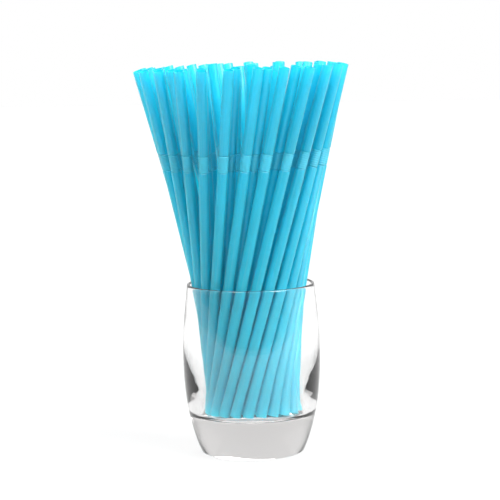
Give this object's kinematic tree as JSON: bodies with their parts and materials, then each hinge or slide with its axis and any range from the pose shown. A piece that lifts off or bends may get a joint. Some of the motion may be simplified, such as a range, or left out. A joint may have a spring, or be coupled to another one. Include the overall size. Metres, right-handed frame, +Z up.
{
  "type": "drinking straws in a tumbler",
  "caption": "Clear barrel-shaped tumbler with a thick solid foot, holding a twisted, fanned sheaf of light blue flexible drinking straws that lift out and bend at pleated necks.",
  "frame": {"origin": "centre of the tumbler's flat underside", "axes": "+Z up along the tumbler's axis; -Y towards the side seen in the picture; +X to the right in it"},
  "size_m": [0.1237, 0.1257, 0.2282],
  "materials": {
    "clear_glass": "clear, polished, colourless",
    "blue_polypropylene": "light blue, translucent, satin"
  },
  "bodies": {
    "tumbler": {"tumbler": "clear_glass"},
    "straw_06_stem": {"straw_06_stem": "blue_polypropylene"},
    "straw_06_tip": {"straw_06_tip": "blue_polypropylene"},
    "straw_07_stem": {"straw_07_stem": "blue_polypropylene"},
    "straw_07_tip": {"straw_07_tip": "blue_polypropylene"},
    "straw_08_stem": {"straw_08_stem": "blue_polypropylene"},
    "straw_08_tip": {"straw_08_tip": "blue_polypropylene"},
    "straw_09_stem": {"straw_09_stem": "blue_polypropylene"},
    "straw_09_tip": {"straw_09_tip": "blue_polypropylene"},
    "straw_10_stem": {"straw_10_stem": "blue_polypropylene"},
    "straw_10_tip": {"straw_10_tip": "blue_polypropylene"},
    "straw_11_stem": {"straw_11_stem": "blue_polypropylene"},
    "straw_11_tip": {"straw_11_tip": "blue_polypropylene"},
    "straw_12_stem": {"straw_12_stem": "blue_polypropylene"},
    "straw_12_tip": {"straw_12_tip": "blue_polypropylene"},
    "straw_13_stem": {"straw_13_stem": "blue_polypropylene"},
    "straw_13_tip": {"straw_13_tip": "blue_polypropylene"},
    "straw_14_stem": {"straw_14_stem": "blue_polypropylene"},
    "straw_14_tip": {"straw_14_tip": "blue_polypropylene"},
    "straw_15_stem": {"straw_15_stem": "blue_polypropylene"},
    "straw_15_tip": {"straw_15_tip": "blue_polypropylene"},
    "straw_16_stem": {"straw_16_stem": "blue_polypropylene"},
    "straw_16_tip": {"straw_16_tip": "blue_polypropylene"},
    "straw_17_stem": {"straw_17_stem": "blue_polypropylene"},
    "straw_17_tip": {"straw_17_tip": "blue_polypropylene"},
    "straw_18_stem": {"straw_18_stem": "blue_polypropylene"},
    "straw_18_tip": {"straw_18_tip": "blue_polypropylene"},
    "straw_19_stem": {"straw_19_stem": "blue_polypropylene"},
    "straw_19_tip": {"straw_19_tip": "blue_polypropylene"},
    "straw_20_stem": {"straw_20_stem": "blue_polypropylene"},
    "straw_20_tip": {"straw_20_tip": "blue_polypropylene"},
    "straw_21_stem": {"straw_21_stem": "blue_polypropylene"},
    "straw_21_tip": {"straw_21_tip": "blue_polypropylene"},
    "straw_22_stem": {"straw_22_stem": "blue_polypropylene"},
    "straw_22_tip": {"straw_22_tip": "blue_polypropylene"},
    "straw_01": {"straw_01": "blue_polypropylene"},
    "straw_02": {"straw_02": "blue_polypropylene"},
    "straw_03": {"straw_03": "blue_polypropylene"},
    "straw_04": {"straw_04": "blue_polypropylene"},
    "straw_05": {"straw_05": "blue_polypropylene"},
    "straw_23": {"straw_23": "blue_polypropylene"},
    "straw_24": {"straw_24": "blue_polypropylene"},
    "inner_straw_01": {"inner_straw_01": "blue_polypropylene"},
    "inner_straw_02": {"inner_straw_02": "blue_polypropylene"},
    "inner_straw_03": {"inner_straw_03": "blue_polypropylene"},
    "inner_straw_04": {"inner_straw_04": "blue_polypropylene"},
    "inner_straw_05": {"inner_straw_05": "blue_polypropylene"},
    "inner_straw_06": {"inner_straw_06": "blue_polypropylene"},
    "inner_straw_07": {"inner_straw_07": "blue_polypropylene"},
    "inner_straw_08": {"inner_straw_08": "blue_polypropylene"},
    "inner_straw_09": {"inner_straw_09": "blue_polypropylene"},
    "inner_straw_10": {"inner_straw_10": "blue_polypropylene"},
    "inner_straw_11": {"inner_straw_11": "blue_polypropylene"},
    "inner_straw_12": {"inner_straw_12": "blue_polypropylene"},
    "inner_straw_13": {"inner_straw_13": "blue_polypropylene"},
    "inner_straw_14": {"inner_straw_14": "blue_polypropylene"},
    "inner_straw_15": {"inner_straw_15": "blue_polypropylene"},
    "inner_straw_16": {"inner_straw_16": "blue_polypropylene"},
    "inner_straw_17": {"inner_straw_17": "blue_polypropylene"},
    "inner_straw_18": {"inner_straw_18": "blue_polypropylene"}
  },
  "joints": [
    {"name": "straw_14_bend", "type": "hinge", "parent": "straw_14_stem", "child": "straw_14_tip", "pos_m": [-0.00192, -0.0481, 0.17304], "axis": [0.987, -0.0372, -0.156], "range_deg": [0, 100]},
    {"name": "straw_14_lift", "type": "slide", "parent": "tumbler", "child": "straw_14_stem", "axis": [0.1437, -0.2266, 0.9633], "range_m": [0, 0.09]},
    {"name": "straw_13_bend", "type": "hinge", "parent": "straw_13_stem", "child": "straw_13_tip", "pos_m": [-0.01519, -0.04767, 0.17248], "axis": [0.9417, -0.2978, -0.1564], "range_deg": [0, 100]},
    {"name": "straw_13_lift", "type": "slide", "parent": "tumbler", "child": "straw_13_stem", "axis": [0.0736, -0.2712, 0.9597], "range_m": [0, 0.09]},
    {"name": "straw_15_bend", "type": "hinge", "parent": "straw_15_stem", "child": "straw_15_tip", "pos_m": [0.0104, -0.04733, 0.173], "axis": [0.9641, 0.214, -0.157], "range_deg": [0, 100]},
    {"name": "straw_15_lift", "type": "slide", "parent": "tumbler", "child": "straw_15_stem", "axis": [0.1974, -0.183, 0.9631], "range_m": [0, 0.09]},
    {"name": "straw_12_bend", "type": "hinge", "parent": "straw_12_stem", "child": "straw_12_tip", "pos_m": [-0.02697, -0.04297, 0.17218], "axis": [0.8374, -0.523, -0.1587], "range_deg": [0, 100]},
    {"name": "straw_12_lift", "type": "slide", "parent": "tumbler", "child": "straw_12_stem", "axis": [0.0019, -0.2875, 0.9578], "range_m": [0, 0.09]},
    {"name": "straw_16_bend", "type": "hinge", "parent": "straw_16_stem", "child": "straw_16_tip", "pos_m": [0.02282, -0.04276, 0.17291], "axis": [0.87, 0.4668, -0.1588], "range_deg": [0, 100]},
    {"name": "straw_16_lift", "type": "slide", "parent": "tumbler", "child": "straw_16_stem", "axis": [0.2419, -0.1235, 0.9624], "range_m": [0, 0.09]},
    {"name": "straw_11_bend", "type": "hinge", "parent": "straw_11_stem", "child": "straw_11_tip", "pos_m": [-0.03657, -0.03464, 0.1722], "axis": [0.6804, -0.7149, -0.1614], "range_deg": [0, 100]},
    {"name": "straw_11_lift", "type": "slide", "parent": "tumbler", "child": "straw_11_stem", "axis": [-0.0664, -0.2795, 0.9578], "range_m": [0, 0.09]},
    {"name": "straw_17_bend", "type": "hinge", "parent": "straw_17_stem", "child": "straw_17_tip", "pos_m": [0.03263, -0.03461, 0.17308], "axis": [0.7168, 0.6788, -0.1592], "range_deg": [0, 100]},
    {"name": "straw_17_lift", "type": "slide", "parent": "tumbler", "child": "straw_17_stem", "axis": [0.2627, -0.0513, 0.9635], "range_m": [0, 0.09]},
    {"name": "straw_10_bend", "type": "hinge", "parent": "straw_10_stem", "child": "straw_10_tip", "pos_m": [-0.04465, -0.02446, 0.17202], "axis": [0.4761, -0.8644, -0.1615], "range_deg": [0, 100]},
    {"name": "straw_10_lift", "type": "slide", "parent": "tumbler", "child": "straw_10_stem", "axis": [-0.1396, -0.2556, 0.9567], "range_m": [0, 0.09]},
    {"name": "straw_18_bend", "type": "hinge", "parent": "straw_18_stem", "child": "straw_18_tip", "pos_m": [0.03992, -0.02394, 0.17332], "axis": [0.5057, 0.8476, -0.1604], "range_deg": [0, 100]},
    {"name": "straw_18_lift", "type": "slide", "parent": "tumbler", "child": "straw_18_stem", "axis": [0.2607, 0.0271, 0.965], "range_m": [0, 0.09]},
    {"name": "straw_09_bend", "type": "hinge", "parent": "straw_09_stem", "child": "straw_09_tip", "pos_m": [-0.05011, -0.01285, 0.17157], "axis": [0.2474, -0.9551, -0.163], "range_deg": [0, 100]},
    {"name": "straw_09_lift", "type": "slide", "parent": "tumbler", "child": "straw_09_stem", "axis": [-0.2082, -0.2167, 0.9538], "range_m": [0, 0.09]},
    {"name": "straw_19_bend", "type": "hinge", "parent": "straw_19_stem", "child": "straw_19_tip", "pos_m": [0.04472, -0.01219, 0.17324], "axis": [0.2574, 0.9525, -0.163], "range_deg": [0, 100]},
    {"name": "straw_19_lift", "type": "slide", "parent": "tumbler", "child": "straw_19_stem", "axis": [0.2449, 0.0989, 0.9645], "range_m": [0, 0.09]},
    {"name": "inner_straw_10_lift", "type": "slide", "parent": "tumbler", "child": "inner_straw_10", "axis": [0.1471, -0.2264, 0.9629], "range_m": [0, 0.09]},
    {"name": "inner_straw_09_lift", "type": "slide", "parent": "tumbler", "child": "inner_straw_09", "axis": [0.0626, -0.2593, 0.9638], "range_m": [0, 0.09]},
    {"name": "inner_straw_11_lift", "type": "slide", "parent": "tumbler", "child": "inner_straw_11", "axis": [0.2078, -0.1566, 0.9656], "range_m": [0, 0.09]},
    {"name": "inner_straw_08_lift", "type": "slide", "parent": "tumbler", "child": "inner_straw_08", "axis": [-0.0378, -0.2756, 0.9605], "range_m": [0, 0.09]},
    {"name": "straw_01_lift", "type": "slide", "parent": "tumbler", "child": "straw_01", "axis": [-0.1095, 0.273, 0.9558], "range_m": [0, 0.09]},
    {"name": "straw_02_lift", "type": "slide", "parent": "tumbler", "child": "straw_02", "axis": [-0.1748, 0.2312, 0.9571], "range_m": [0, 0.09]},
    {"name": "straw_03_lift", "type": "slide", "parent": "tumbler", "child": "straw_03", "axis": [-0.2307, 0.184, 0.9555], "range_m": [0, 0.09]},
    {"name": "straw_08_bend", "type": "hinge", "parent": "straw_08_stem", "child": "straw_08_tip", "pos_m": [-0.05142, -0.00105, 0.17137], "axis": [0.0226, -0.9857, -0.1673], "range_deg": [0, 100]},
    {"name": "straw_08_lift", "type": "slide", "parent": "tumbler", "child": "straw_08_stem", "axis": [-0.2547, -0.1675, 0.9524], "range_m": [0, 0.09]},
    {"name": "straw_20_bend", "type": "hinge", "parent": "straw_20_stem", "child": "straw_20_tip", "pos_m": [0.04655, 0.00086, 0.17295], "axis": [-0.0206, 0.986, -0.1656], "range_deg": [0, 100]},
    {"name": "straw_20_lift", "type": "slide", "parent": "tumbler", "child": "straw_20_stem", "axis": [0.2139, 0.1662, 0.9626], "range_m": [0, 0.09]},
    {"name": "straw_07_bend", "type": "hinge", "parent": "straw_07_stem", "child": "straw_07_tip", "pos_m": [-0.04887, 0.01157, 0.17166], "axis": [-0.2245, -0.9595, -0.1701], "range_deg": [0, 100]},
    {"name": "straw_07_lift", "type": "slide", "parent": "tumbler", "child": "straw_07_stem", "axis": [-0.2805, -0.1035, 0.9542], "range_m": [0, 0.09]},
    {"name": "straw_21_bend", "type": "hinge", "parent": "straw_21_stem", "child": "straw_21_tip", "pos_m": [0.04546, 0.01326, 0.17266], "axis": [-0.2783, 0.9459, -0.1668], "range_deg": [0, 100]},
    {"name": "straw_21_lift", "type": "slide", "parent": "tumbler", "child": "straw_21_stem", "axis": [0.1697, 0.2194, 0.9608], "range_m": [0, 0.09]},
    {"name": "straw_06_bend", "type": "hinge", "parent": "straw_06_stem", "child": "straw_06_tip", "pos_m": [-0.04438, 0.0242, 0.17164], "axis": [-0.4696, -0.8664, -0.1696], "range_deg": [0, 100]},
    {"name": "straw_06_lift", "type": "slide", "parent": "tumbler", "child": "straw_06_stem", "axis": [-0.2983, -0.0251, 0.9541], "range_m": [0, 0.09]},
    {"name": "straw_22_bend", "type": "hinge", "parent": "straw_22_stem", "child": "straw_22_tip", "pos_m": [0.03982, 0.02425, 0.1729], "axis": [-0.5149, 0.841, -0.166], "range_deg": [0, 100]},
    {"name": "straw_22_lift", "type": "slide", "parent": "tumbler", "child": "straw_22_stem", "axis": [0.1018, 0.2522, 0.9623], "range_m": [0, 0.09]},
    {"name": "inner_straw_12_lift", "type": "slide", "parent": "tumbler", "child": "inner_straw_12", "axis": [0.2466, -0.0604, 0.9672], "range_m": [0, 0.09]},
    {"name": "inner_straw_07_lift", "type": "slide", "parent": "tumbler", "child": "inner_straw_07", "axis": [-0.1322, -0.2563, 0.9575], "range_m": [0, 0.09]},
    {"name": "inner_straw_13_lift", "type": "slide", "parent": "tumbler", "child": "inner_straw_13", "axis": [0.258, 0.0346, 0.9655], "range_m": [0, 0.09]},
    {"name": "inner_straw_06_lift", "type": "slide", "parent": "tumbler", "child": "inner_straw_06", "axis": [-0.2037, -0.199, 0.9586], "range_m": [0, 0.09]},
    {"name": "inner_straw_14_lift", "type": "slide", "parent": "tumbler", "child": "inner_straw_14", "axis": [0.2257, 0.1228, 0.9664], "range_m": [0, 0.09]},
    {"name": "inner_straw_05_lift", "type": "slide", "parent": "tumbler", "child": "inner_straw_05", "axis": [-0.2675, -0.1187, 0.9562], "range_m": [0, 0.09]},
    {"name": "inner_straw_15_lift", "type": "slide", "parent": "tumbler", "child": "inner_straw_15", "axis": [0.1643, 0.1999, 0.9659], "range_m": [0, 0.09]},
    {"name": "inner_straw_04_lift", "type": "slide", "parent": "tumbler", "child": "inner_straw_04", "axis": [-0.2978, -0.0318, 0.9541], "range_m": [0, 0.09]},
    {"name": "inner_straw_16_lift", "type": "slide", "parent": "tumbler", "child": "inner_straw_16", "axis": [0.0989, 0.2553, 0.9618], "range_m": [0, 0.09]},
    {"name": "inner_straw_03_lift", "type": "slide", "parent": "tumbler", "child": "inner_straw_03", "axis": [-0.2806, 0.0591, 0.958], "range_m": [0, 0.09]},
    {"name": "inner_straw_17_lift", "type": "slide", "parent": "tumbler", "child": "inner_straw_17", "axis": [0.0043, 0.2703, 0.9628], "range_m": [0, 0.09]},
    {"name": "inner_straw_02_lift", "type": "slide", "parent": "tumbler", "child": "inner_straw_02", "axis": [-0.2407, 0.1564, 0.9579], "range_m": [0, 0.09]},
    {"name": "inner_straw_18_lift", "type": "slide", "parent": "tumbler", "child": "inner_straw_18", "axis": [-0.0939, 0.2572, 0.9618], "range_m": [0, 0.09]},
    {"name": "inner_straw_01_lift", "type": "slide", "parent": "tumbler", "child": "inner_straw_01", "axis": [-0.1799, 0.2265, 0.9573], "range_m": [0, 0.09]},
    {"name": "straw_04_lift", "type": "slide", "parent": "tumbler", "child": "straw_04", "axis": [-0.2756, 0.1254, 0.9531], "range_m": [0, 0.09]},
    {"name": "straw_05_lift", "type": "slide", "parent": "tumbler", "child": "straw_05", "axis": [-0.3009, 0.0499, 0.9523], "range_m": [0, 0.09]},
    {"name": "straw_23_lift", "type": "slide", "parent": "tumbler", "child": "straw_23", "axis": [0.0339, 0.2758, 0.9606], "range_m": [0, 0.09]},
    {"name": "straw_24_lift", "type": "slide", "parent": "tumbler", "child": "straw_24", "axis": [-0.0364, 0.2846, 0.958], "range_m": [0, 0.09]}
  ]
}
